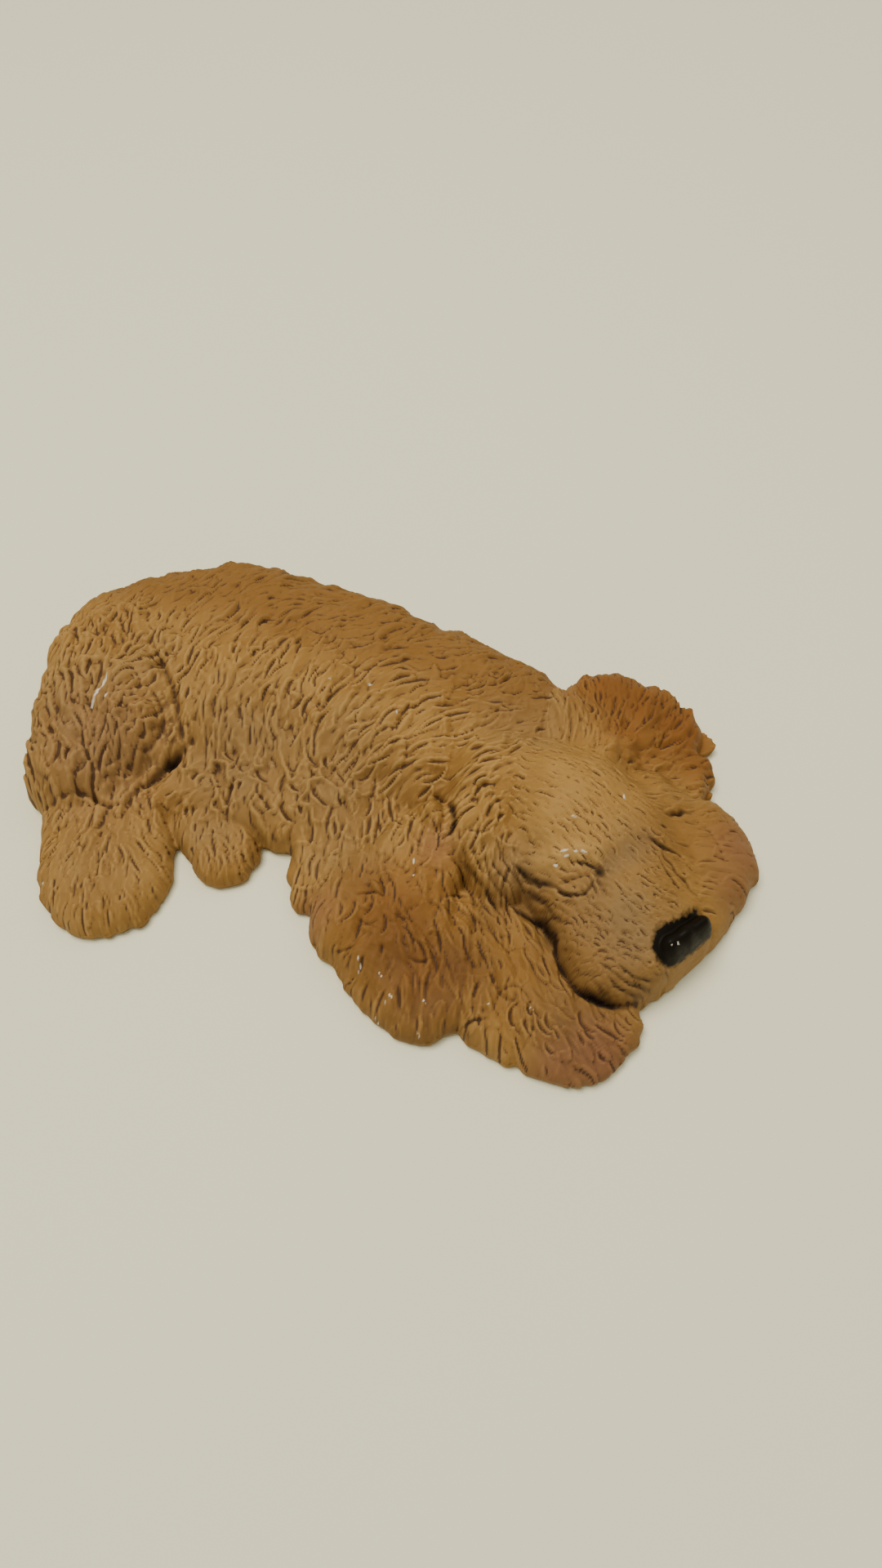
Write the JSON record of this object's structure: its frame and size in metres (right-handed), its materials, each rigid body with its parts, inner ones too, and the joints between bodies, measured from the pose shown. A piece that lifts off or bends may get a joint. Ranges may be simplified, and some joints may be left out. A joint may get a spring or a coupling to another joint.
{
  "type": "resin dog figurine",
  "caption": "Flat-backed relief figurine of a sleeping long-haired puppy curled on its side, cast in resin as one piece and painted tan with a black nose.",
  "frame": {"origin": "middle of the box round the outline, on the flat back face", "axes": "+X from the rump towards the far forepaw, +Y from the paws towards the spine, +Z out of the flat back through the relief"},
  "size_m": [0.0954, 0.074, 0.0158],
  "materials": {
    "painted_resin": "satin ochre paint with a dark brown wash in the hollows of the fur; black gloss on the nose"
  },
  "bodies": {
    "root": {"dog": "painted_resin"}
  },
  "joints": []
}
